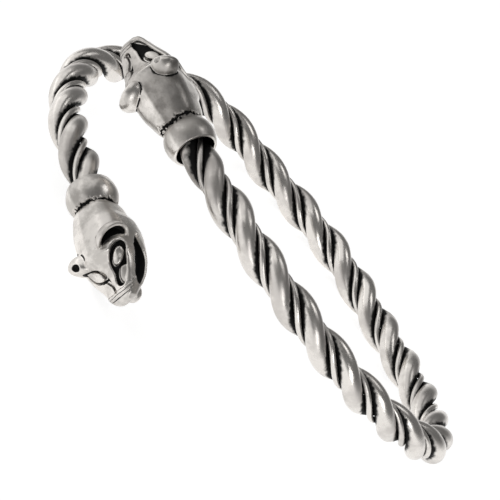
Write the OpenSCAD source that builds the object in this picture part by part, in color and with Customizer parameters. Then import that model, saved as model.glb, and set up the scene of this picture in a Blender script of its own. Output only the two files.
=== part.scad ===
// Open twisted bangle of two thick and two thin round wires, whose ends are
// seated in the collars of two cast beast heads. It lies as it rests by itself.

/* [Rope] */
// Outer diameter of the twisted rope
rope_d = 5.4; // [5:0.1:5.8]
// Length of rope that holds one full turn of the twist
twist_pitch = 15.0; // [14:0.1:18]
// Where the twist starts, in degrees about the rope
twist_start = 256; // [0:1:360]
// Diameter of each thin wire
thin_d = 0.84; // [0.6:0.02:0.9]
// Distance of a thin wire's centre from the rope's centre
thin_offset = 1.5; // [1.48:0.01:1.7]
// Free gap between the two thick wires
wire_gap = 0.14; // [0.12:0.01:0.2]
// Share of its size that the rope keeps where it enters a collar
end_scale = 0.86; // [0.8:0.01:0.88]
// Length of rope over which it draws in to that size
end_taper = 5; // [4:0.5:10]

/* [Collars] */
// Largest diameter of the barrel collar
collar_d = 6.9; // [6.6:0.1:7.4]
// Diameter of the collar at its open lip
lip_d = 6.0; // [5.9:0.1:6.3]
// Diameter of the socket that takes the rope
socket_d = 5.2; // [5.2:0.05:5.4]
// Depth of the socket from the lip
socket_depth = 2.6; // [2.3:0.1:3]
// Length of the collar from its middle to the lip
lip_reach = 1.4; // [1.2:0.1:1.8]
// Length of the collar from its middle to the seam at the neck
seam_reach = 2.5; // [2.3:0.1:2.7]
// Diameter at the seam
seam_d = 5.4; // [5:0.1:6]

/* [Heads] */
// Diameter of the skull's ear shells
ear_d = 4.6; // [4.3:0.1:4.8]
// Diameter of the hollow in an ear
ear_hollow_d = 3.6; // [3:0.1:3.7]
// Diameter of the sphere that domes the back of an ear
ear_back_d = 5.2; // [4.8:0.1:6]
// Distance from an ear's middle back to its dome
ear_reach = 1.7; // [1.4:0.1:1.9]
// Distance from an ear's middle forward to its open face
ear_front = 0.2; // [0:0.1:0.5]
// Lean of an ear's open face away from the nose
ear_lean = 12; // [5:1:20]
// Turn of an ear towards its own side
ear_spread = 40; // [30:1:50]
// Turn of an ear's open face away from the head's middle
ear_yaw = 22; // [0:1:35]
// Wall of an ear at the middle of its back
ear_wall = 0.5; // [0.4:0.05:0.7]
// Diameter of an eyeball
eyeball_d = 1.4; // [1.2:0.1:1.6]
// Diameter of the bead at the tip of the lower jaw
jaw_bead_d = 1.9; // [1.6:0.1:2.2]
// Depth of the mouth slot in each side
mouth_depth = 1.3; // [0.8:0.1:1.6]
// Depth of the eye hollows
eye_depth = 0.55; // [0.3:0.05:0.7]
// Roll of the lower head about the rope, towards the bangle's underside
lower_roll = 15; // [0:1:20]
// Roll of the upper head about the rope
upper_roll = -6; // [-10:1:10]
// Bend of the upper head away from the bangle's middle
upper_pitch = 13; // [8:1:15]
// Bend of the upper head sideways
upper_yaw = -1; // [-5:1:5]

/* [Rest] */
// Turn about X that lays the bangle on its lower head and far side
rest_pitch = -16.3; // [-20:0.1:-12]
// Turn about Y that settles it sideways
rest_roll = 0.8; // [-2:0.1:2]
// Height of the bangle's own centre above the floor
rest_lift = 10.54; // [10:0.01:12]
// Shift that puts the middle of the bounding box over the origin
rest_shift = [0.25, 4.43];

/* [Hidden] */
$fn = 40;

// Course of the rope's centre about the bangle's own axis, every 30 degrees
course_from = -150;
course_step = 30;
REACH = 0;
HEIGHT = 1;
course = [
  //reach, height
  [31.1, 1.6],
  [28.0, 0.9],
  [27.0, 0.5],
  [28.2, -0.2],
  [31.8, -0.5],
  [34.8, 0.1],
  [31.8, 0.0],
  [28.6, -0.3],
  [27.8, -0.1],
  [28.7, -0.8],
  [32.0, -1.6],
  [35.2, -7.5],
  [32.7, -11.7],
  [30.1, -13.2],
  [29.8, -15.0]
];

// Angles at which the rope's centre passes the middle of each collar
upper_collar_at = -113.5;
lower_collar_at = 245;

// Sweep quality
turn_rings = 12;
thick_sides = 12;
thin_sides = 6;

// Smooth curve through four rows of a table column, t runs between p1 and p2
function through(p0, p1, p2, p3, t) =
  0.5 * (2 * p1 + (p2 - p0) * t + (2 * p0 - 5 * p1 + 4 * p2 - p3) * t * t
         + (3 * p1 - 3 * p2 + p3 - p0) * t * t * t);

function course_value(angle, column) =
  let (along = (angle - course_from) / course_step,
       row = max(1, min(len(course) - 3, floor(along))))
  through(course[row - 1][column], course[row][column], course[row + 1][column],
          course[row + 2][column], along - row);

function course_point(angle) =
  let (reach = course_value(angle, REACH))
  [reach * cos(angle), reach * sin(angle), course_value(angle, HEIGHT)];

function unit(v) = v / norm(v);

function course_tangent(angle) =
  unit(course_point(angle + 0.5) - course_point(angle - 0.5));

// Direction square to the rope that points along the bangle's own axis
function course_up(tangent) = unit([0, 0, 1] - tangent * tangent[2]);

// Angles where the rope begins and ends, clear of the floors of the two sockets
// by enough for the slanted ends of the wires
seat_gap = 0.7;
seat_depth = socket_depth - lip_reach - seat_gap;
seat_step = seat_depth / (norm(course_point(upper_collar_at)) * PI / 180);
rope_from = upper_collar_at - seat_step;
rope_to = lower_collar_at + seat_step;
mean_reach = 30;
ring_count = round((rope_to - rope_from) / 360 * 2 * PI * mean_reach / twist_pitch * turn_rings);
ring_angles = [for (i = [0:ring_count]) rope_from + (rope_to - rope_from) * i / ring_count];

// Length of rope up to each ring
ring_lengths = [
  for (i = 0, total = 0; i <= ring_count;
       total = total + (i < ring_count
                        ? norm(course_point(ring_angles[i + 1]) - course_point(ring_angles[i]))
                        : 0),
       i = i + 1) total
];
rope_length = ring_lengths[ring_count];

function smooth(t) = let (c = max(0, min(1, t))) c * c * (3 - 2 * c);

// Share of full size at a given length along the rope
function draw_in(length_here) =
  end_scale + (1 - end_scale)
  * smooth((min(length_here, rope_length - length_here) - socket_depth) / end_taper);

// One ring of points of a wire that winds about the rope
function wire_ring(i, offset, radius, phase, sides) =
  let (here = course_point(ring_angles[i]),
       tangent = course_tangent(ring_angles[i]),
       up = course_up(tangent),
       across = cross(tangent, up),
       turn = phase + twist_start + 360 * ring_lengths[i] / twist_pitch,
       size = draw_in(ring_lengths[i]),
       outward = up * cos(turn) + across * sin(turn),
       sideways = across * cos(turn) - up * sin(turn),
       run = unit(tangent + sideways * size * offset * 2 * PI / twist_pitch),
       top = unit(up - run * (run * up)),
       flank = cross(run, top),
       centre = here + outward * size * offset)
  [for (k = [0:sides - 1])
    centre + size * radius
    * (top * cos(360 * k / sides) + flank * sin(360 * k / sides))];

// Closed skin over a list of rings with the same number of points
module skin(rings) {
  sides = len(rings[0]);
  last = len(rings) - 1;
  points = [for (ring = rings) for (p = ring) p];
  walls = [for (i = [0:last - 1]) for (k = [0:sides - 1]) for (half = [0, 1])
    let (a = i * sides + k, b = i * sides + (k + 1) % sides)
    half == 0 ? [a, a + sides, b + sides] : [a, b + sides, b]];
  near_cap = [for (k = [0:sides - 1]) k];
  far_cap = [for (k = [sides - 1:-1:0]) last * sides + k];
  polyhedron(points, concat([near_cap, far_cap], walls), convexity = 10);
}

module wire(offset, radius, phase, sides) {
  skin([for (i = [0:ring_count]) wire_ring(i, offset, radius, phase, sides)]);
}

// Places its children with their +X along the rope at an angle, away from it,
// and their +Z pointing out of the bangle
module at_rope_end(angle, way) {
  tangent = course_tangent(angle) * way;
  side = unit(cross(cross(tangent, [0, 0, 1]), tangent));
  outward = cross(tangent, side) * way;
  left = cross(outward, tangent);
  origin = course_point(angle);
  multmatrix([
    [tangent[0], left[0], outward[0], origin[0]],
    [tangent[1], left[1], outward[1], origin[1]],
    [tangent[2], left[2], outward[2], origin[2]],
    [0, 0, 0, 1]
  ]) children();
}

// Lays the bangle down as it rests by itself
module at_rest() {
  translate([rest_shift[0], rest_shift[1], rest_lift])
    rotate([rest_pitch, rest_roll, 0])
      children();
}

// Barrel collar with a blind socket, along X with its lip at -X
module collar() {
  wall_r = seam_d / 2;
  bulge_r = collar_d / 2;
  steps = 8;
  barrel = [for (i = [0:steps])
    let (t = i / steps, x = -lip_reach + t * (lip_reach + seam_reach),
         base = lip_d / 2 + (wall_r - lip_d / 2) * t)
    [base + (bulge_r - (lip_d / 2 + wall_r) / 2) * sin(180 * t), x]];
  rotate([0, 90, 0])
    rotate_extrude()
      polygon(concat([[0, -lip_reach + socket_depth],
                      [socket_d / 2, -lip_reach + socket_depth],
                      [socket_d / 2, -lip_reach]],
                     barrel, [[0, seam_reach]]));
}

// Sections of the head from the seam to the nose
ALONG = 0;
HALF = 1;
TOP = 2;
UNDER = 3;
sections = [
  //along, half width, top, under
  [2.2, 2.5, 2.5, 2.5],
  [3.4, 3.0, 2.9, 2.8],
  [4.8, 3.35, 3.15, 3.0],
  [5.6, 3.6, 3.25, 4.0],
  [7.4, 3.75, 3.35, 4.5],
  [9.4, 3.65, 3.3, 4.5],
  [10.8, 3.4, 3.3, 4.3],
  [12.1, 3.1, 2.1, 3.8],
  [13.5, 2.75, 1.5, 3.3],
  [14.5, 2.35, 1.05, 2.7],
  [15.1, 2.15, 0.9, 1.8],
  [15.3, 1.95, 0.7, 1.6],
  [15.6, 2.15, 0.8, 1.6],
  [16.3, 1.8, 0.4, 1.4],
  [16.8, 1.1, -0.1, 1.0]
];
section_sides = 20;
// Squareness of the sections above and below their middle, where 1 is round
top_squareness = 0.78;
under_squareness = 0.55;

function bent(v, squareness) = sign(v) * pow(abs(v), squareness);

function section_ring(row) =
  [for (k = [0:section_sides - 1])
    let (turn = 360 * k / section_sides,
         above = sin(turn) > 0,
         squareness = above ? top_squareness : under_squareness)
    [row[ALONG], row[HALF] * bent(cos(turn), squareness),
     bent(sin(turn), squareness) * (above ? row[TOP] : row[UNDER])]];

// Places on the head, on its left side where it has two
ear_at = [9.6, 2.8, 2.1];
eye_at = [12.2, 2.4, 1.25];
ear_clear = 0.3;
eyeball_at = [11.6, 2.5, 1.3];
mouth_at = [11.3, 3.1, -1.9];
jaw_bead_at = [14.8, 0, -2.6];

// Leaf outlines of the hollows, length and height, and their turns on the left side
mouth_size = [7.6, 1.7];
mouth_turn = [90, -5, -14];
eye_size = [5.8, 2.4];
eye_turn = [-50, 22, -16];

// Pointed leaf outline between two points on the X axis
module leaf(size) {
  length = size[0];
  height = size[1];
  r = (length * length + height * height) / (4 * height);
  intersection() {
    translate([0, r - height / 2]) circle(r, $fn = 96);
    translate([0, height / 2 - r]) circle(r, $fn = 96);
  }
}

// Everything behind the open face of an ear
module behind_ear_face() {
  translate([ear_front - ear_d, 0, 0]) cube(2 * ear_d, center = true);
}

// Ear as a shallow cup whose domed back faces the collar
module ear() {
  intersection() {
    sphere(d = ear_d);
    translate([ear_back_d / 2 - ear_reach, 0, 0]) sphere(d = ear_back_d);
    behind_ear_face();
  }
}

module ear_hollow() {
  intersection() {
    translate([ear_hollow_d / 2 - ear_reach + ear_wall, 0, 0]) sphere(d = ear_hollow_d);
    translate([ear_clear, 0, 0]) behind_ear_face();
  }
}

module at_ear(hand) {
  translate([ear_at[0], hand * ear_at[1], ear_at[2]])
    rotate([-hand * ear_spread, 0, 0]) rotate([0, -ear_lean, hand * ear_yaw]) children();
}

module mouth_slot(hand) {
  translate([mouth_at[0], hand * mouth_at[1], mouth_at[2]])
    rotate([mouth_turn[0], mouth_turn[1], hand * mouth_turn[2]])
      linear_extrude(2 * mouth_depth, center = true) leaf(mouth_size);
}

module eye_hollow(hand) {
  translate([eye_at[0], hand * eye_at[1], eye_at[2]])
    rotate([hand * eye_turn[0], eye_turn[1], hand * eye_turn[2]])
      linear_extrude(2 * eye_depth, center = true) leaf(eye_size);
}

// The head is bent by pitch and yaw where it leaves the collar
module head(angle, way, roll, pitch, yaw) {
  at_rest() at_rope_end(angle, way) rotate([roll, 0, 0]) {
    collar();
    translate([seam_reach, 0, 0]) rotate([0, -pitch, yaw]) translate([-seam_reach, 0, 0]) {
      difference() {
        union() {
          skin([for (row = sections) section_ring(row)]);
          translate(jaw_bead_at) sphere(d = jaw_bead_d);
          for (hand = [-1, 1]) at_ear(hand) ear();
        }
        for (hand = [-1, 1]) {
          at_ear(hand) ear_hollow();
          mouth_slot(hand);
          eye_hollow(hand);
        }
      }
      for (hand = [-1, 1])
        translate([eyeball_at[0], hand * eyeball_at[1], eyeball_at[2]]) sphere(d = eyeball_d);
    }
  }
}

module thick_wire(phase) {
  color([0.72, 0.71, 0.69])
    at_rest() wire((rope_d + wire_gap) / 4, (rope_d - wire_gap) / 4, phase, thick_sides);
}

module thin_wire(phase) {
  color([0.6, 0.59, 0.57]) at_rest() wire(thin_offset, thin_d / 2, phase, thin_sides);
}

module lower_head() {
  color([0.78, 0.77, 0.74]) head(lower_collar_at, 1, lower_roll, 0, 0);
}

module upper_head() {
  color([0.78, 0.77, 0.74]) head(upper_collar_at, -1, upper_roll, upper_pitch, upper_yaw);
}

thick_wire(0);  // thick_wire_a
thick_wire(180);  // thick_wire_b
thin_wire(90);  // thin_wire_a
thin_wire(270);  // thin_wire_b
lower_head();
upper_head();
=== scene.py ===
import math

import bpy
import numpy as np
from mathutils import Matrix, Vector, noise


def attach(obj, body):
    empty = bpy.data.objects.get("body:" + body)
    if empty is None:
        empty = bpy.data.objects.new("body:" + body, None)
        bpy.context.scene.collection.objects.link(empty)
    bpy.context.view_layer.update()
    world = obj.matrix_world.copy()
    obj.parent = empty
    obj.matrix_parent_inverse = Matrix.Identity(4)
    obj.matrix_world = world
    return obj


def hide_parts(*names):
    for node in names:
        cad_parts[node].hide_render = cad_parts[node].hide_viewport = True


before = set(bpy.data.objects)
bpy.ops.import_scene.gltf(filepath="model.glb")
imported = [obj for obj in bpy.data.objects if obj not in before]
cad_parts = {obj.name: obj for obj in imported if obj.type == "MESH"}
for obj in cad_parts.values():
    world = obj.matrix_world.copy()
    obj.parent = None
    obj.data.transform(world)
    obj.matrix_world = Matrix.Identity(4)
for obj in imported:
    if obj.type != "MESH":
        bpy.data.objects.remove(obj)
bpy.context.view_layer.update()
print("frame loaded")

# Everything is modelled in millimetres about the bangle's own centre, as if it lay
# level, and is laid down and brought to metres at the end of each piece.
rest = {"pitch": -16.3, "roll": 0.8, "shift": (0.25, 4.43), "lift": 10.54}
millimetre = 0.001
tolerance = 0.01  # places nearer than this are the same

layDown = (Matrix.Scale(millimetre, 4)
           @ Matrix.Translation((*rest["shift"], rest["lift"]))
           @ Matrix.Rotation(math.radians(rest["roll"]), 4, "Y")
           @ Matrix.Rotation(math.radians(rest["pitch"]), 4, "X"))


def clearSelection():
    if bpy.context.object and bpy.context.object.mode != "OBJECT":
        bpy.ops.object.mode_set(mode="OBJECT")
    bpy.ops.object.select_all(action="DESELECT")


def pick(piece):
    clearSelection()
    piece.select_set(True)
    bpy.context.view_layer.objects.active = piece


def startEdit(piece, mode="VERT"):
    pick(piece)
    bpy.ops.object.mode_set(mode="EDIT")
    bpy.ops.mesh.select_mode(type=mode)
    bpy.ops.mesh.select_all(action="DESELECT")
    bpy.ops.object.mode_set(mode="OBJECT")


def selectEdges(piece, wanted):
    startEdit(piece, "EDGE")
    points = piece.data.vertices
    for edge in piece.data.edges:
        edge.select = wanted(*[points[i].co for i in edge.vertices])
    bpy.ops.object.mode_set(mode="EDIT")


def selectPoints(piece, wanted):
    startEdit(piece)
    for point in piece.data.vertices:
        point.select = wanted(point.co)
    bpy.ops.object.mode_set(mode="EDIT")


def selectFaces(piece, wanted):
    startEdit(piece, "FACE")
    for face in piece.data.polygons:
        face.select = wanted(face)
    bpy.ops.object.mode_set(mode="EDIT")


def selectAll(piece):
    startEdit(piece)
    bpy.ops.object.mode_set(mode="EDIT")
    bpy.ops.mesh.select_all(action="SELECT")


def endEdit():
    bpy.ops.object.mode_set(mode="OBJECT")


def addRings(piece, cuts):
    # cuts every edge that runs along X
    for number in cuts:
        selectEdges(piece, lambda a, b: abs(a.x - b.x) > tolerance)
        bpy.ops.mesh.subdivide(number_cuts=number)
        endEdit()


def finishModifiers(piece):
    pick(piece)
    for modifier in list(piece.modifiers):
        bpy.ops.object.modifier_apply(modifier=modifier.name)


def settle(piece):
    # place goes into the mesh, the object stays at the origin
    pick(piece)
    bpy.ops.object.transform_apply(location=True, rotation=True, scale=True)


def joinPieces(name, pieces):
    clearSelection()
    for piece in pieces:
        piece.select_set(True)
    bpy.context.view_layer.objects.active = pieces[0]
    bpy.ops.object.join()
    pieces[0].name = name
    pieces[0].data.name = name
    return pieces[0]


# Course of the rope

rope = {
    "diameter": 5.4, "pitch": 15.0, "startTurn": 256, "gap": 0.14,
    "thinDiameter": 0.84, "thinReach": 1.48, "endScale": 0.86, "endTaper": 5,
    "courseFrom": -150, "courseStep": 30, "points": 720, "tangentStep": 0.5,
    "closeIn": 0.06, "shrink": 0.03,
    "upperCollar": -113.5, "lowerCollar": 245,
}
collar = {"diameter": 6.9, "lip": 6.0, "socket": 5.2, "depth": 2.6, "lipReach": 1.4,
          "seamReach": 2.5, "seam": 5.4, "seatGap": 0.7, "rings": 22, "sides": 96,
          "socketShadeMargin": (0.1, 0.05)}

course = [  # reach and height of the rope's centre, every 30 degrees
    (31.1, 1.6), (28.0, 0.9), (27.0, 0.5), (28.2, -0.2), (31.8, -0.5),
    (34.8, 0.1), (31.8, 0.0), (28.6, -0.3), (27.8, -0.1), (28.7, -0.8),
    (32.0, -1.6), (35.2, -7.5), (32.7, -11.7), (30.1, -13.2), (29.8, -15.0),
]


def through(p0, p1, p2, p3, t):
    # smooth value between p1 and p2
    return 0.5 * (2 * p1 + (p2 - p0) * t + (2 * p0 - 5 * p1 + 4 * p2 - p3) * t * t
                  + (3 * p1 - 3 * p2 + p3 - p0) * t ** 3)


def coursePoint(angle):
    along = (angle - rope["courseFrom"]) / rope["courseStep"]
    row = max(1, min(len(course) - 3, math.floor(along)))
    reach, height = [through(*[course[row + k][column] for k in (-1, 0, 1, 2)], along - row)
                     for column in (0, 1)]
    turn = math.radians(angle)
    return Vector((reach * math.cos(turn), reach * math.sin(turn), height))


def courseTangent(angle):
    step = rope["tangentStep"]
    return (coursePoint(angle + step) - coursePoint(angle - step)).normalized()


def smoothStep(t):
    t = max(0, min(1, t))
    return t * t * (3 - 2 * t)


seatDepth = collar["depth"] - collar["lipReach"] - collar["seatGap"]
seatStep = math.degrees(seatDepth / coursePoint(rope["upperCollar"]).length)
firstAngle = rope["upperCollar"] - seatStep
lastAngle = rope["lowerCollar"] + seatStep
routeAngles = [firstAngle + (lastAngle - firstAngle) * i / rope["points"]
               for i in range(rope["points"] + 1)]
route = [coursePoint(angle) for angle in routeAngles]
routeLengths = [0.0]
for here, there in zip(route, route[1:]):
    routeLengths.append(routeLengths[-1] + (there - here).length)
ropeLength = routeLengths[-1]


def drawIn(length):
    fromEnd = min(length, ropeLength - length) - collar["depth"]
    return rope["endScale"] + (1 - rope["endScale"]) * smoothStep(fromEnd / rope["endTaper"])


def makeCourse():
    path = bpy.data.curves.new("ropeCourse", "CURVE")
    path.dimensions = "3D"
    spline = path.splines.new("POLY")
    spline.points.add(rope["points"])
    for place, length, point in zip(route, routeLengths, spline.points):
        point.co = (*place, 1)
        point.radius = drawIn(length)
    path.twist_mode = "Z_UP"
    path.use_radius = True
    line = bpy.data.objects.new("ropeCourse", path)
    bpy.context.scene.collection.objects.link(line)
    return line


# Wires

wires = {
    "thick": {"sides": 28, "reach": (rope["diameter"] + rope["gap"]) / 4 - rope["closeIn"],
              "thickness": (rope["diameter"] - rope["gap"]) / 2 - rope["shrink"],
              "endGrooveShade": 0.5, "endGreyShade": 0.6,
              "nodes": {"thick_wire_a": 0, "thick_wire_b": 180}},
    "thin": {"sides": 14, "reach": rope["thinReach"], "thickness": rope["thinDiameter"],
             "endGrooveShade": 0.05, "endGreyShade": 0.2,
             "nodes": {"thin_wire_a": 90, "thin_wire_b": 270}},
    "cuts": (25, 25), "grooveShadeReach": 5, "greyShadeReach": 16, "creaseAngle": 50,
}


def storeGrooveShade(piece, size):
    # distance from the rope's axis, which tells the grooves from the crests and sets the painted
    # shade: black in the grooves, with more black and a grey shade towards the collars
    depth = piece.data.attributes.new("ropeDepth", "FLOAT", "POINT")
    skin = piece.data.attributes.new("greyShade", "FLOAT", "POINT")
    for point in piece.data.vertices:
        x, y, z = point.co
        fromLip = min(x, ropeLength - x) - (collar["depth"] - collar["seatGap"])
        black = size["endGrooveShade"] * (1 - smoothStep(fromLip / wires["grooveShadeReach"]))
        depth.data[point.index].value = math.hypot(y, z) - black
        grey = 1 - smoothStep(fromLip / wires["greyShadeReach"])
        skin.data[point.index].value = size["endGreyShade"] * grey


def makeWire(name, size, phase, line):
    reach, thickness = size["reach"], size["thickness"]
    clearSelection()
    bpy.ops.mesh.primitive_cylinder_add(vertices=size["sides"], radius=thickness / 2,
                                        depth=ropeLength, location=(ropeLength / 2, 0, 0),
                                        rotation=(0, math.pi / 2, 0))
    piece = bpy.context.object
    piece.name = name
    piece.data.name = name
    settle(piece)
    addRings(piece, wires["cuts"])
    # widened across, so that the wire is round again once it is twisted
    lean = math.atan(2 * math.pi * reach / rope["pitch"])
    selectAll(piece)
    bpy.ops.transform.resize(value=(1, 1 / math.cos(lean), 1))
    bpy.ops.transform.translate(value=(0, 0, reach))
    endEdit()
    storeGrooveShade(piece, size)
    piece.data.transform(Matrix.Rotation(math.radians(rope["startTurn"] + phase), 4, "X"))
    twist = piece.modifiers.new("twist", "SIMPLE_DEFORM")
    twist.deform_method = "TWIST"
    twist.deform_axis = "X"
    twist.angle = 2 * math.pi * ropeLength / rope["pitch"]
    follow = piece.modifiers.new("follow", "CURVE")
    follow.object = line
    follow.deform_axis = "POS_X"
    finishModifiers(piece)
    piece.data.transform(layDown)
    pick(piece)
    bpy.ops.object.shade_smooth_by_angle(angle=math.radians(wires["creaseAngle"]))
    return piece


line = makeCourse()
wirePieces = []
for kind in ("thick", "thin"):
    for node, phase in wires[kind]["nodes"].items():
        wire = makeWire(node.replace("wire", "strand"), wires[kind], phase, line)
        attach(wire, "root")
        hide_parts(node)
        wirePieces.append((kind, wire))
bpy.data.objects.remove(line)
print("wires twisted")


# Heads

head = {  # the casting isn't even, and its right side shows otherwise on each head; the last row sets how much grey shade is painted on each head and on which side
    "lower": {"collarAt": rope["lowerCollar"], "way": 1, "roll": 15, "pitch": 0, "yaw": 0,
              "rightEye": (13.15, 1.75, 1.7), "rightLeaf": 1, "rightBall": 0.95,
              "rightBands": 1, "budPit": 1,
              "greyShade": 0.4, "faceGreyShade": 0, "shadedSide": 1},
    "upper": {"collarAt": rope["upperCollar"], "way": -1, "roll": -6, "pitch": 13, "yaw": -1,
              "rightEye": (13.35, 2.05, 1.5), "rightLeaf": 0, "rightBall": 0.9,
              "rightBands": 0, "budPit": 0.5,
              "greyShade": 1, "faceGreyShade": 0.5, "shadedSide": -1},
    "sides": 220, "cuts": (12, 11), "voxel": 0.092, "smoothing": 3, "smoothFactor": 0.5,
    "seamSmoothFactor": 0.4, "faceFrom": 9.8, "faceBlend": 2.2, "shadeFrom": 5,
    "outlineSteps": 4,
    "backSquareness": 0.7, "faceSquareness": 1.0, "underSquareness": 0.57,
    "cheekAt": 11.9, "cheekLength": 1.3, "rightCheek": 0.09,
}

skullRows = [  # along, half width, top, under
    (2.2, 2.5, 2.5, 2.5), (3.4, 3.0, 2.9, 2.8), (4.8, 3.35, 3.15, 3.0), (5.6, 3.6, 3.25, 4.0),
    (7.4, 3.75, 3.35, 4.5), (9.4, 3.65, 3.3, 4.5), (10.7, 3.55, 3.35, 4.3), (11.2, 3.5, 2.95, 4.15),
    (12.0, 3.35, 2.1, 3.85), (13.4, 2.9, 1.5, 3.4), (14.5, 2.4, 1.1, 2.7), (15.1, 2.15, 0.95, 2.2),
    (15.9, 1.85, 0.75, 1.7), (16.4, 1.5, 0.45, 1.35), (16.75, 0.8, 0.0, 0.8),
]


def skullSize(x):
    # half width, top and under at x
    row = 0
    while row < len(skullRows) - 2 and skullRows[row + 1][0] < x:
        row += 1
    here, there = skullRows[row], skullRows[row + 1]
    before, after = skullRows[max(0, row - 1)], skullRows[min(len(skullRows) - 1, row + 2)]
    t = (x - here[0]) / (there[0] - here[0])
    return [through(before[c], here[c], there[c], after[c], t) for c in (1, 2, 3)]


def bent(value, squareness):
    # turns a circle's sine or cosine into a squarer or rounder one
    return math.copysign(abs(value) ** squareness, value)


def closedCurve(points, steps):
    # rounds a closed outline of listed points
    count = len(points)
    return [tuple(through(*[points[(i + k) % count][axis] for k in (-1, 0, 1, 2)], step / steps)
                  for axis in (0, 1))
            for i in range(count) for step in range(steps)]


def outlineDistance(outline, px, py):
    # distance to a closed outline, negative inside it
    nearest = np.full(px.shape, np.inf)
    inside = np.zeros(px.shape, bool)
    for (ax, ay), (bx, by) in zip(outline, outline[1:] + outline[:1]):
        ex, ey = bx - ax, by - ay
        t = np.clip(((px - ax) * ex + (py - ay) * ey) / (ex * ex + ey * ey), 0, 1)
        nearest = np.minimum(nearest, np.hypot(px - ax - t * ex, py - ay - t * ey))
        if ay != by:
            crosses = (ay > py) != (by > py)
            inside ^= crosses & (px < ax + (py - ay) * ex / ey)
    return np.where(inside, -nearest, nearest)


def ramp(value, low, high):
    t = np.clip((value - low) / (high - low), 0, 1)
    return t * t * (3 - 2 * t)


eye = {  # outline in its own plane, towards the nose and towards the cheek
    "middle": (12.4, 2.12, 1.42), "long": (0.91, -0.415, -0.02), "out": (0.32, 0.63, 0.7),
    "nearSurface": (-2.2, -1.8),
    "outline": [(-2.9, 0.1), (-2.45, -0.6), (-1.75, -1.1), (-0.75, -1.3), (0.1, -1.2),
                (0.9, -0.85), (1.65, -0.45), (2.4, -0.3), (3.0, 0.0), (3.1, 0.5),
                (2.5, 0.95), (1.2, 1.2), (0.0, 1.05), (-1.2, 0.9), (-2.1, 0.9), (-2.7, 0.6)],
    "leaf": [(0.1, 0.95), (0.6, 0.1), (1.4, 0.0), (2.0, 0.1), (2.65, 0.55), (2.7, 1.3),
             (1.2, 1.6), (0.1, 1.5)], "leafDepth": 0.14, "leafEdge": 0.22,
    "ball": (-0.75, -0.12), "ballSize": (1.35, 0.72), "ballTurn": -12,
    "ballHeight": 0.3, "ballDrop": 0.12, "ballEdge": (-0.02, 0.16), "rightLeafGrowth": 0.1,
    "ringAt": 1.12, "ringWidth": 0.23, "lineFrom": (0.6, 0.9), "lineEnd": 0.4, "lineFade": 0.2,
    "depth": 0.6, "edge": 0.2, "rim": 0.03, "rimWidth": 0.22,
}
mouth = {  # outline seen from the side, along and out
    "outline": [(7.9, -1.8), (9.2, -1.0), (10.8, -0.6), (12.6, -0.45), (14.0, -0.55),
                (14.8, -0.9), (15.05, -1.4), (14.8, -1.85), (14.2, -2.25), (13.1, -2.65),
                (12.0, -2.85), (10.9, -2.8), (9.8, -2.6), (8.8, -2.25)],
    "depth": 1.3, "edge": 0.2, "rim": 0.07, "rimWidth": 0.18, "side": (0.9, 1.1),
}
muzzle = {"bandAt": 15.5, "bandWidth": 0.4, "bands": 2, "height": 0.11, "fullness": 0.7,
          "axis": 0.4, "swing": 1.1, "swingPower": 3, "lineWidth": 0.07, "lineDepth": 0.08,
          "lineShade": 0.75, "roundTo": 1.85, "fade": 0.2, "rightFade": (0.3, 0.9)}
brow = {"at": 10.9, "width": 0.2, "height": 0.2, "reach": 2.6, "fade": 0.8, "above": (1.5, 2.5)}

eyeOutline = closedCurve(eye["outline"], head["outlineSteps"])
leafOutline = closedCurve(eye["leaf"], head["outlineSteps"])
mouthOutline = closedCurve(mouth["outline"], head["outlineSteps"])
eyeOut = Vector(eye["out"]).normalized()
eyeLong = (Vector(eye["long"]) - eyeOut * eyeOut.dot(Vector(eye["long"]))).normalized()
eyeAcross = eyeOut.cross(eyeLong)


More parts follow.
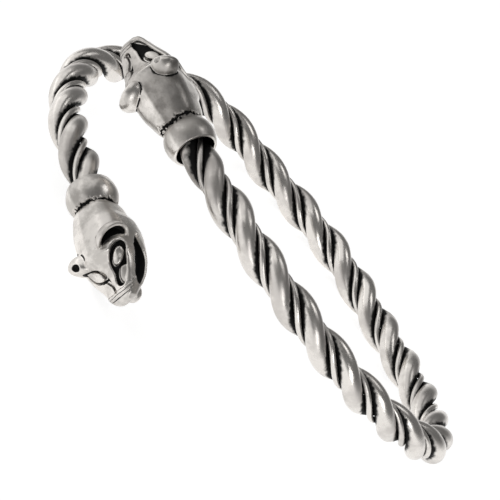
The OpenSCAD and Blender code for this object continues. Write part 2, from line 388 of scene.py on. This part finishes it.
def relief(points, settings):
    # how far each point of the skull moves out, and how black it is painted as shade in the hollows
    x, y, z = points[:, 0], np.abs(points[:, 1]), points[:, 2]
    onRight = points[:, 1] < 0

    # eye: a trench round the eyeball and the leaf in front of it
    middle = np.where(onRight[:, None], settings["rightEye"], eye["middle"])
    folded = np.stack([x, y, z], 1) - middle
    toNose, toCheek, outward = (folded @ np.array(axis) for axis in (eyeLong, eyeAcross, eyeOut))
    front = ramp(outward, *eye["nearSurface"])
    socket = outlineDistance(eyeOutline, toNose, toCheek)
    leaf = outlineDistance(leafOutline, toNose, toCheek) - onRight * eye["rightLeafGrowth"]
    turn = math.radians(eye["ballTurn"])
    along, across = toNose - eye["ball"][0], toCheek - eye["ball"][1]
    u = (along * math.cos(turn) + across * math.sin(turn)) / eye["ballSize"][0]
    v = (across * math.cos(turn) - along * math.sin(turn)) / eye["ballSize"][1]
    ball = np.hypot(u, v) / np.where(onRight, settings["rightBall"], 1)
    ballIsland = ramp(1 - ball, *eye["ballEdge"])
    leafIsland = ramp(-leaf, 0.0, eye["leafEdge"]) * np.where(onRight, settings["rightLeaf"], 1)
    pit = ramp(-socket, 0.0, eye["edge"]) * front
    trench = pit * (1 - np.maximum(ballIsland, leafIsland))
    if settings["rightLeaf"]:
        # the right eye is a thin closed ring with a line towards the nose
        fromRing = np.abs(ball - eye["ringAt"])
        ring = front * (1 - ramp(fromRing, eye["ringWidth"] / 3, eye["ringWidth"]))
        line = trench * ramp(toNose, *eye["lineFrom"])
        line *= ramp(eye["lineEnd"] - toCheek, 0.0, eye["lineFade"])
        trench = np.where(onRight, np.maximum(ring, line), trench)
    rise = -eye["depth"] * trench - eye["leafDepth"] * pit * leafIsland * (1 - ballIsland)
    dome = eye["ballHeight"] * np.sqrt(np.clip(1 - ball ** 2, 0, 1)) - eye["ballDrop"]
    rise += front * ballIsland * dome
    rise += front * eye["rim"] * np.exp(-((socket - eye["rimWidth"]) / eye["rimWidth"]) ** 2)

    # mouth: a slot in each side
    slot = outlineDistance(mouthOutline, x, z)
    side = ramp(y, *mouth["side"])
    gape = ramp(-slot, 0.0, mouth["edge"]) * side
    rise -= mouth["depth"] * gape
    rise += side * mouth["rim"] * np.exp(-((slot - mouth["rimWidth"]) / mouth["rimWidth"]) ** 2)

    # muzzle: rounded bands with a fine line at each edge
    around = np.arctan2(y, z + muzzle["axis"])
    swing = muzzle["swing"] * (1 - np.cos(around)) ** muzzle["swingPower"]
    band = (x - muzzle["bandAt"] + swing) / muzzle["bandWidth"]
    onTop = ramp(muzzle["roundTo"] - around, 0.0, muzzle["fade"])
    onTop *= 1 - onRight * (1 - settings["rightBands"]) * ramp(y, *muzzle["rightFade"])
    onBand = onTop * (band > 0) * (band < muzzle["bands"])
    rise += onBand * muzzle["height"] * np.abs(np.sin(math.pi * band)) ** muzzle["fullness"]
    lines = [np.exp(-((band - k) * muzzle["bandWidth"] / muzzle["lineWidth"]) ** 2)
             for k in range(muzzle["bands"] + 1)]
    line = np.max(lines, axis=0) * onTop
    rise -= muzzle["lineDepth"] * line

    # brow: a low ridge across the forehead
    ridge = np.exp(-((x - brow["at"]) / brow["width"]) ** 2) * ramp(z, *brow["above"])
    rise += brow["height"] * ridge * ramp(brow["reach"] - y, 0.0, brow["fade"])
    # painted shade: black in the eye trench, the mouth slot and the band lines
    shadeAndJointBlack = np.maximum.reduce([trench, gape, muzzle["lineShade"] * line])
    return rise, shadeAndJointBlack


def meshValues(piece, kind):
    flat = np.empty(len(piece.data.vertices) * 3)
    piece.data.vertices.foreach_get(kind, flat)
    return flat.reshape(-1, 3)


def meshPoints(piece):
    return meshValues(piece, "co")


def meshNormals(piece):
    return meshValues(piece, "normal")


def setPoints(piece, points):
    piece.data.vertices.foreach_set("co", points.ravel())
    piece.data.update()


def makeSkull(settings):
    clearSelection()
    first, last = skullRows[0][0], skullRows[-1][0]
    bpy.ops.mesh.primitive_cylinder_add(vertices=head["sides"], radius=1, depth=last - first,
                                        location=((first + last) / 2, 0, 0),
                                        rotation=(0, math.pi / 2, 0))
    skull = bpy.context.object
    settle(skull)
    addRings(skull, head["cuts"])
    for point in skull.data.vertices:
        half, high, low = skullSize(point.co.x)
        turn = math.atan2(point.co.z, point.co.y)
        above = point.co.z > 0
        ahead = smoothStep((point.co.x - head["faceFrom"]) / head["faceBlend"])
        if point.co.y < 0:
            fromCheek = (point.co.x - head["cheekAt"]) / head["cheekLength"]
            half *= 1 + head["rightCheek"] * math.exp(-fromCheek ** 2)
        topSquareness = head["backSquareness"] * (1 - ahead) + head["faceSquareness"] * ahead
        squareness = topSquareness if above else head["underSquareness"]
        point.co.y = half * bent(math.cos(turn), squareness)
        point.co.z = bent(math.sin(turn), squareness) * (high if above else low)
    skull.data.update()
    points, normals = meshPoints(skull), meshNormals(skull)
    rise = relief(points, settings)[0]
    setPoints(skull, points + normals * rise[:, None])
    return skull


ear = {  # the left ear is a cup, the right one a closed bud: its wall is 0
    1: {"place": (9.5, 2.8, 2.1), "reach": (1.75, 2.35, 2.35), "front": 0.15, "wall": 0.45,
        "yaw": 22, "lean": 12},
    -1: {"place": (10.3, 3.1, 1.9), "reach": (1.9, 1.85, 2.1), "front": 0.5, "wall": 0,
         "yaw": 26, "lean": 14},
    "segments": (48, 36), "facing": 0.9, "spread": 40,
    "hollow": 1.3, "hollowRows": ((0.5, 0.86), (0.4, 0.75), (0.25, 0.6)),
    "cupEdge": 0.12, "cupBehindFront": (0.05, 0.3),
    "crease": 0.17, "creaseSpill": 0.34, "outside": (1.01, 1.03), "behind": (0.2, 0.7),
    "patchScale": 1.3, "creasePatch": (-0.45, -0.05), "spillPatch": (-0.3, 0.2),
    "spillShade": 0.75,
}


def makeEar(hand):
    shape = ear[hand]
    segments, rings = ear["segments"]
    clearSelection()
    bpy.ops.mesh.primitive_uv_sphere_add(segments=segments, ring_count=rings, radius=1,
                                         rotation=(0, math.pi / 2, 0))
    shell = bpy.context.object
    settle(shell)
    selectAll(shell)
    bpy.ops.transform.resize(value=shape["reach"])
    if shape["wall"]:
        front = shape["front"]
        bpy.ops.mesh.bisect(plane_co=(front, 0, 0), plane_no=(1, 0, 0), use_fill=True,
                            clear_outer=True)
        selectFaces(shell, lambda face: face.normal.x > ear["facing"]
                    and abs(face.center.x - front) < tolerance)
        bpy.ops.mesh.inset(thickness=shape["wall"], depth=0)
        for push, scale in ear["hollowRows"]:
            bpy.ops.mesh.extrude_region_move(
                TRANSFORM_OT_translate={"value": (-ear["hollow"] * push, 0, 0)})
            bpy.ops.transform.resize(value=(1, scale, scale))
    else:
        selectPoints(shell, lambda place: place.x > tolerance)
        bpy.ops.transform.resize(value=(shape["front"], 1, 1), center_override=(0, 0, 0))
    endEdit()
    shell.data.transform(earFrame(hand))
    return shell


def earFrame(hand):
    x, y, z = ear[hand]["place"]
    return (Matrix.Translation((x, hand * y, z))
            @ Matrix.Rotation(math.radians(-hand * ear["spread"]), 4, "X")
            @ Matrix.Rotation(math.radians(hand * ear[hand]["yaw"]), 4, "Z")
            @ Matrix.Rotation(math.radians(-ear[hand]["lean"]), 4, "Y"))


jawBead = {"place": (14.75, 0, -2.3), "radius": 1.15, "stretch": (1.15, 1.1, 0.9),
           "segments": (32, 20)}


def makeBead():
    clearSelection()
    segments, rings = jawBead["segments"]
    bpy.ops.mesh.primitive_uv_sphere_add(segments=segments, ring_count=rings,
                                         radius=jawBead["radius"], location=jawBead["place"])
    bead = bpy.context.object
    settle(bead)
    selectAll(bead)
    bpy.ops.transform.resize(value=jawBead["stretch"])
    endEdit()
    return bead


def makeCollar():
    # half a section, from the socket's blind end round the lip to the seam, then spun
    bulge = (collar["diameter"] - (collar["lip"] + collar["seam"]) / 2) / 2
    start, end, steps = -collar["lipReach"], collar["seamReach"], collar["rings"]
    profile = [(start + collar["depth"], 0), (start + collar["depth"], collar["socket"] / 2),
               (start, collar["socket"] / 2)]
    for i in range(steps + 1):
        t = i / steps
        straight = (collar["lip"] * (1 - t) + collar["seam"] * t) / 2
        profile.append((start + t * (end - start), straight + bulge * math.sin(math.pi * t)))
    profile.append((end, 0))
    data = bpy.data.meshes.new("collar")
    edges = [(i, i + 1) for i in range(len(profile) - 1)]
    data.from_pydata([(x, 0, radius) for x, radius in profile], edges, [])
    ring = bpy.data.objects.new("collar", data)
    bpy.context.scene.collection.objects.link(ring)
    pick(ring)
    bpy.ops.object.mode_set(mode="EDIT")
    bpy.ops.mesh.select_all(action="SELECT")
    bpy.ops.mesh.spin(steps=collar["sides"], angle=2 * math.pi, center=(0, 0, 0), axis=(1, 0, 0))
    bpy.ops.mesh.select_all(action="SELECT")
    bpy.ops.mesh.remove_doubles(threshold=tolerance)
    bpy.ops.mesh.normals_make_consistent(inside=False)
    endEdit()
    return ring


def ropeEnd(angle, way):
    tangent = courseTangent(angle) * way
    side = tangent.cross(Vector((0, 0, 1))).cross(tangent).normalized()
    outward = tangent.cross(side) * way
    left = outward.cross(tangent)
    turn = Matrix((tangent, left, outward)).transposed().to_4x4()
    return Matrix.Translation(coursePoint(angle)) @ turn


seam = {"at": 2.5, "reach": 1.0, "width": 0.42, "depth": 0.3, "radius": 2.7,
        "wander": 0.25, "wanderScale": 1.6, "pitScale": 2.6, "pitShift": (7, 3, 1),
        "speckScale": 4.7, "speckShare": 0.5, "evenWidth": 0.5, "pitWidth": 2.0, "pitFrom": -0.1}


def carveSeam(piece):
    # pitted joint between collar and neck
    points, normals = meshPoints(piece), meshNormals(piece)
    shadeAndJointBlack = np.zeros(len(points))
    near = np.abs(points[:, 0] - seam["at"]) < seam["reach"]
    for i in np.nonzero(near)[0]:
        place = Vector(points[i])
        turn = math.atan2(place.y, place.z)
        ringPlace = Vector((math.cos(turn), math.sin(turn), 0)) * seam["radius"]
        wander = seam["wander"] * noise.noise(ringPlace * seam["wanderScale"])
        pit = noise.noise(place * seam["pitScale"] + Vector(seam["pitShift"]))
        pit += seam["speckShare"] * noise.noise(place * seam["speckScale"])
        pitted = seam["evenWidth"] + seam["pitWidth"] * max(0, pit - seam["pitFrom"])
        fromSeam = abs(place.x - seam["at"] - wander)
        shadeAndJointBlack[i] = 1 - smoothStep(fromSeam / (seam["width"] * pitted))
    setPoints(piece, points - normals * (shadeAndJointBlack * seam["depth"])[:, None])
    return shadeAndJointBlack


budPit = {"place": (10.75, -3.0, 3.8), "radius": 0.68, "depth": 0.45, "wall": (0.5, 1.0),
          "shadeAndJointBlack": (0.75, 1.05)}


def carveBud(piece, bend, settings):
    # small round pit in the right ear, painted black inside as shade
    points, normals = meshPoints(piece), meshNormals(piece)
    middle = bend @ Vector(budPit["place"])
    away = np.linalg.norm(points - np.array(middle), axis=1) / budPit["radius"]
    pushed = budPit["depth"] * settings["budPit"] * (1 - ramp(away, *budPit["wall"]))
    setPoints(piece, points - normals * pushed[:, None])
    return settings["budPit"] * (1 - ramp(away, *budPit["shadeAndJointBlack"]))


def unbent(piece, bend):
    back = np.array(bend.inverted())
    return meshPoints(piece) @ back[:3, :3].T + back[:3, 3]


def earShade(local, points, hand):
    # painted shade: black in the cup and in the crease behind the ear, spilling past the crease in
    # patches
    shape = ear[hand]
    toEar = np.array(earFrame(hand).inverted())
    inEar = local @ toEar[:3, :3].T + toEar[:3, 3]
    reach = np.array(shape["reach"])
    hollow = np.linalg.norm(inEar / (reach - shape["wall"] / 2), axis=1)
    cup = ramp(1 - hollow, 0.0, ear["cupEdge"])
    cup *= ramp(shape["front"] - inEar[:, 0], *ear["cupBehindFront"]) * (shape["wall"] > 0)
    shell = np.linalg.norm(inEar / reach, axis=1)
    behind = ramp(shell, *ear["outside"]) * ramp(-inEar[:, 0], *ear["behind"])
    beyond = shell - ear["outside"][1]
    crease = behind * (1 - ramp(beyond, 0.0, ear["crease"]))
    creaseSpill = behind * (1 - ramp(beyond, 0.0, ear["creaseSpill"]))
    patches = np.zeros(len(points))
    for i in np.nonzero(creaseSpill > 0)[0]:
        patches[i] = noise.noise(Vector(points[i]) * ear["patchScale"])
    crease *= ramp(patches, *ear["creasePatch"])
    creaseSpill *= ear["spillShade"] * ramp(patches, *ear["spillPatch"])
    return [cup, crease, creaseSpill]


def paintedShadeOf(piece, bend, settings):
    # painted shade: black in the hollows: sockets, ears, eyes, mouth and band lines
    points, local = meshPoints(piece), unbent(piece, bend)
    shadeAndJointBlack = relief(local, settings)[1]
    shadeAndJointBlack *= local[:, 0] > head["shadeFrom"]
    shadeAndJointBlack = np.maximum.reduce([shadeAndJointBlack] + earShade(local, points, -1) + earShade(local, points, 1))
    radius = np.hypot(points[:, 1], points[:, 2])
    past, beside = collar["socketShadeMargin"]
    blindEnd = collar["depth"] - collar["lipReach"]
    inSocket = (points[:, 0] < blindEnd + past) & (radius < collar["socket"] / 2 + beside)
    return np.maximum(shadeAndJointBlack, inSocket)


# painted grey shade: where it lies on the collar and the skull, and the roughness it adds
greyShade = {"collarEnd": (2.2, 2.9), "onCollar": 0.55, "front": (9.0, 10.8),
           "height": (0.6, 1.9), "side": (-0.95, -0.5), "roughness": 0.18}


def greyShadeOf(piece, bend, settings):
    # painted shade: grey on the top of the collar and of the skull on one side, and on the face as
    # much as each head asks
    x, y, z = unbent(piece, bend).T
    onSkull = ramp(x, *greyShade["collarEnd"])
    amount = settings["greyShade"] * onSkull + greyShade["onCollar"] * (1 - onSkull)
    amount *= ramp(z, *greyShade["height"]) * ramp(settings["shadedSide"] * y, *greyShade["side"])
    onFace = ramp(x, *greyShade["front"])
    return amount * (1 - onFace) + settings["faceGreyShade"] * onFace


def soften(piece, factor, times):
    smooth = piece.modifiers.new("soften", "SMOOTH")
    smooth.factor = factor
    smooth.iterations = times
    finishModifiers(piece)


def storeValues(piece, name, values):
    stored = piece.data.attributes.new(name, "FLOAT", "POINT")
    stored.data.foreach_set("value", values.astype(np.float32))


def makeHead(name, settings):
    neck = Vector((collar["seamReach"], 0, 0))
    bend = (Matrix.Translation(neck)
            @ Matrix.Rotation(math.radians(settings["yaw"]), 4, "Z")
            @ Matrix.Rotation(math.radians(-settings["pitch"]), 4, "Y")
            @ Matrix.Translation(-neck))
    parts = [makeSkull(settings), makeEar(1), makeEar(-1), makeBead()]
    for part in parts:
        part.data.transform(bend)
    piece = joinPieces(name, [makeCollar()] + parts)
    fuse = piece.modifiers.new("fuse", "REMESH")
    fuse.mode = "VOXEL"
    fuse.voxel_size = head["voxel"]
    soften(piece, head["smoothFactor"], head["smoothing"])
    carved = np.maximum(carveSeam(piece), carveBud(piece, bend, settings))
    soften(piece, head["seamSmoothFactor"], 1)
    # black for the painted shade in the hollows and the bud pit, and for the dark joint of the seam
    shadeAndJointBlack = np.maximum(paintedShadeOf(piece, bend, settings), carved)
    storeValues(piece, "clearOfShadeAndJoint", 1 - shadeAndJointBlack)
    storeValues(piece, "greyShade", greyShadeOf(piece, bend, settings))
    piece.data.transform(layDown @ ropeEnd(settings["collarAt"], settings["way"])
                         @ Matrix.Rotation(math.radians(settings["roll"]), 4, "X"))
    piece.data.shade_smooth()
    print(name, "has", len(piece.data.polygons), "faces")
    return piece


headPieces = []
for end in ("lower", "upper"):
    piece = makeHead(f"{end}_beast_head", head[end])
    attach(piece, "root")
    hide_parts(f"{end}_head")
    headPieces.append(piece)
print("heads cast")


# Silver

silver = {
    "wire": {"bright": (0.77, 0.735, 0.695, 1), "dull": (0.6, 0.57, 0.54, 1), "patches": 190.0},
    "head": {"bright": (0.79, 0.755, 0.715, 1), "dull": (0.53, 0.505, 0.475, 1),
             "patches": 300.0},
    "patchDetail": 5.0, "patchRoughness": 0.65, "dullPatches": (0.42, 0.62),
    # the near black paints shade in the grooves and hollows and the dark joint of the seam; the
    # dark grey paints shade on the top and one side
    "shadeGrey": (0.2, 0.187, 0.174, 1), "shadeMottleRange": (0.3, 0.6), "shadeMottleLeast": 0.6,
    "shadeAndJointBlack": (0.004, 0.004, 0.004, 1), "raggedness": 1.6,
    "roughness": (0.25, 0.38), "blackRoughness": 0.6, "sheen": (0.1, 0.5),
    "grainScale": 1500.0, "grainDetail": 4.0, "grainBump": (0.25, 0.00003),
    "dentScale": 420.0, "dentDetail": 2.0, "dentBump": (0.6, 0.0001),
    # depth at which a groove or hollow is painted black as shade, and where it is bright again
    "grooves": {"thick": (1.75, 2.15), "thin": (1.45, 1.75)}, "hollows": (0.35, 0.65),
}


def newMaterial(name):
    material = bpy.data.materials.new(name)
    material.use_nodes = True
    tree = material.node_tree
    tree.nodes.clear()
    out = tree.nodes.new("ShaderNodeOutputMaterial")
    shader = tree.nodes.new("ShaderNodeBsdfPrincipled")
    tree.links.new(shader.outputs["BSDF"], out.inputs["Surface"])
    return material, tree, shader


def feed(tree, node, inputs):
    # an input is named by its label, or by i and its number
    for key, value in inputs.items():
        numbered = key[0] == "i" and key[1:].isdigit()
        socket = node.inputs[int(key[1:])] if numbered else node.inputs[key]
        if isinstance(value, bpy.types.NodeSocket):
            tree.links.new(value, socket)
        else:
            socket.default_value = value


def addNode(tree, kind, settings=None, **inputs):
    node = tree.nodes.new(kind)
    for key, value in (settings or {}).items():
        setattr(node, key, value)
    feed(tree, node, inputs)
    return node


def addNoise(tree, place, scale, detail, roughness=0.5):
    return addNode(tree, "ShaderNodeTexNoise", Vector=place, Scale=scale, Detail=detail,
                   Roughness=roughness).outputs["Fac"]


def addAttribute(tree, name):
    return addNode(tree, "ShaderNodeAttribute", {"attribute_name": name}).outputs["Fac"]


def addRange(tree, value, low, high, least=0.0, most=1.0, kind="LINEAR"):
    return addNode(tree, "ShaderNodeMapRange", {"interpolation_type": kind},
                   i0=value, i1=low, i2=high, i3=least, i4=most).outputs[0]


def addMix(tree, share, first, second):
    return addNode(tree, "ShaderNodeMix", {"data_type": "RGBA"},
                   i0=share, i6=first, i7=second).outputs[2]


def addScaledSum(tree, value, factor, base):
    return addNode(tree, "ShaderNodeMath", {"operation": "MULTIPLY_ADD"},
                   i0=value, i1=factor, i2=base).outputs[0]


def makeSilver(name, finish, attribute, dark, clearOfShadeAndJoint):
    # where the attribute is below dark the silver is painted black, as shade in the grooves and
    # hollows and as the dark joint of the seam; above the upper bound it is bright
    material, tree, shader = newMaterial(name)
    place = addNode(tree, "ShaderNodeTexCoord").outputs["Object"]
    grain = addNoise(tree, place, silver["grainScale"], silver["grainDetail"])
    dents = addNoise(tree, place, silver["dentScale"], silver["dentDetail"])
    patches = addNoise(tree, place, finish["patches"], silver["patchDetail"],
                       silver["patchRoughness"])

    ragged = (clearOfShadeAndJoint - dark) * silver["raggedness"]
    depth = addScaledSum(tree, grain, ragged, addAttribute(tree, attribute))
    mask = addRange(tree, depth, dark + ragged / 2, clearOfShadeAndJoint + ragged / 2, kind="SMOOTHSTEP")

    dulled = addRange(tree, patches, *silver["dullPatches"], kind="SMOOTHSTEP")
    # painted shade: grey laid where the stored attribute asks for it, stronger in some patches
    shadeMottle = addRange(tree, patches, *silver["shadeMottleRange"], silver["shadeMottleLeast"])
    grey = addNode(tree, "ShaderNodeMath", {"operation": "MULTIPLY", "use_clamp": True},
                   i0=addAttribute(tree, "greyShade"), i1=shadeMottle).outputs[0]
    metal = addMix(tree, dulled, finish["bright"], finish["dull"])
    shadeGrey = addMix(tree, grey, metal, silver["shadeGrey"])
    colour = addMix(tree, mask, silver["shadeAndJointBlack"], shadeGrey)

    polish = addRange(tree, dulled, 0.0, 1.0, *silver["roughness"])
    polish = addScaledSum(tree, grey, greyShade["roughness"], polish)
    rough = addRange(tree, mask, 0.0, 1.0, silver["blackRoughness"], polish)
    sheen = addRange(tree, mask, 0.0, 1.0, *silver["sheen"])

    strength, distance = silver["dentBump"]
    dented = addNode(tree, "ShaderNodeBump", Strength=strength, Distance=distance, Height=dents)
    strength, distance = silver["grainBump"]
    bump = addNode(tree, "ShaderNodeBump", Strength=strength, Distance=distance, Height=grain,
                   Normal=dented.outputs["Normal"])
    feed(tree, shader, {"Base Color": colour, "Roughness": rough, "Specular IOR Level": sheen,
                        "Metallic": mask, "Normal": bump.outputs["Normal"]})
    return material


def dress(piece, material):
    piece.data.materials.clear()
    piece.data.materials.append(material)


wireSilver = {kind: makeSilver(f"{kind}WireSilver", silver["wire"], "ropeDepth",
                               *silver["grooves"][kind]) for kind in ("thick", "thin")}
for kind, wire in wirePieces:
    dress(wire, wireSilver[kind])

headSilver = makeSilver("headSilver", silver["head"], "clearOfShadeAndJoint", *silver["hollows"])
for piece in headPieces:
    dress(piece, headSilver)
print("silver laid on")


# Floor, light and camera

studio = {
    "floor": 3.0, "floorColour": (1.0, 1.0, 1.0, 1), "floorGlow": 0.8, "floorTint": (0.5, 0.54),
    "floorGrain": 300.0, "floorRoughness": 0.9,
    "lens": 187.2, "sensor": 36, "clip": (0.01, 10),
    "cameraPlace": (0.082794, -0.30606, 0.158373),
    "cameraTurn": (54.197, -42.587, 41.186),
    "sky": ((0.0, (1.0, 1.0, 1.0, 1)), (0.35, (0.16, 0.16, 0.16, 1))),  # height, colour
    "worldStrength": 1.0,
    "lights": {  # place, size and power
        "topSoftbox": ((0, 0.15, 0.8), (0.35, 0.3), 0.5),
        "leftSoftbox": ((-0.6, -0.2, 0.35), (1.0, 0.9), 2.3),
        "rightStrip": ((0.5, -0.4, 0.3), (0.3, 0.4), 1.0),
    },
}


def makeFloor():
    clearSelection()
    bpy.ops.mesh.primitive_plane_add(size=studio["floor"], location=(0, 0, 0))
    floor = bpy.context.object
    floor.name = "studioFloor"
    material, tree, shader = newMaterial("paleFloor")
    place = addNode(tree, "ShaderNodeTexCoord").outputs["Object"]
    grain = addNode(tree, "ShaderNodeTexNoise", Vector=place, Scale=studio["floorGrain"])
    tint = addRange(tree, grain.outputs["Fac"], 0.0, 1.0, *studio["floorTint"])
    feed(tree, shader, {"Base Color": tint, "Emission Color": studio["floorColour"],
                        "Emission Strength": studio["floorGlow"],
                        "Roughness": studio["floorRoughness"]})
    floor.data.materials.append(material)


def areaLight(name, place, size, power):
    clearSelection()
    bpy.ops.object.light_add(type="AREA", location=place)
    lamp = bpy.context.object
    lamp.name = name
    lamp.data.shape = "RECTANGLE"
    lamp.data.size, lamp.data.size_y = size
    lamp.data.energy = power
    toMiddle = Vector((0, 0, 0)) - Vector(place)
    lamp.rotation_euler = toMiddle.to_track_quat("-Z", "Y").to_euler()


def makeWorld():
    # bright at the horizon and dark above, which gives the silver its contrast
    world = bpy.data.worlds.new("studioWorld")
    world.use_nodes = True
    tree = world.node_tree
    backdrop = tree.nodes["Background"]
    place = addNode(tree, "ShaderNodeTexCoord").outputs["Generated"]
    height = addNode(tree, "ShaderNodeSeparateXYZ", None, Vector=place)
    sky = addNode(tree, "ShaderNodeValToRGB", None, Fac=height.outputs["Z"])
    for element, (at, colour) in zip(sky.color_ramp.elements, studio["sky"]):
        element.position = at
        element.color = colour
    feed(tree, backdrop, {"Color": sky.outputs["Color"], "Strength": studio["worldStrength"]})
    bpy.context.scene.world = world


def makeCamera():
    data = bpy.data.cameras.new("photoCamera")
    data.lens = studio["lens"]
    data.sensor_width = studio["sensor"]
    data.clip_start, data.clip_end = studio["clip"]
    camera = bpy.data.objects.new("photoCamera", data)
    bpy.context.scene.collection.objects.link(camera)
    camera.location = studio["cameraPlace"]
    camera.rotation_euler = [math.radians(turn) for turn in studio["cameraTurn"]]
    bpy.context.scene.camera = camera


makeFloor()
makeWorld()
for name, (place, size, power) in studio["lights"].items():
    areaLight(name, place, size, power)
makeCamera()
bpy.context.scene.view_settings.view_transform = "Standard"
print("studio set")
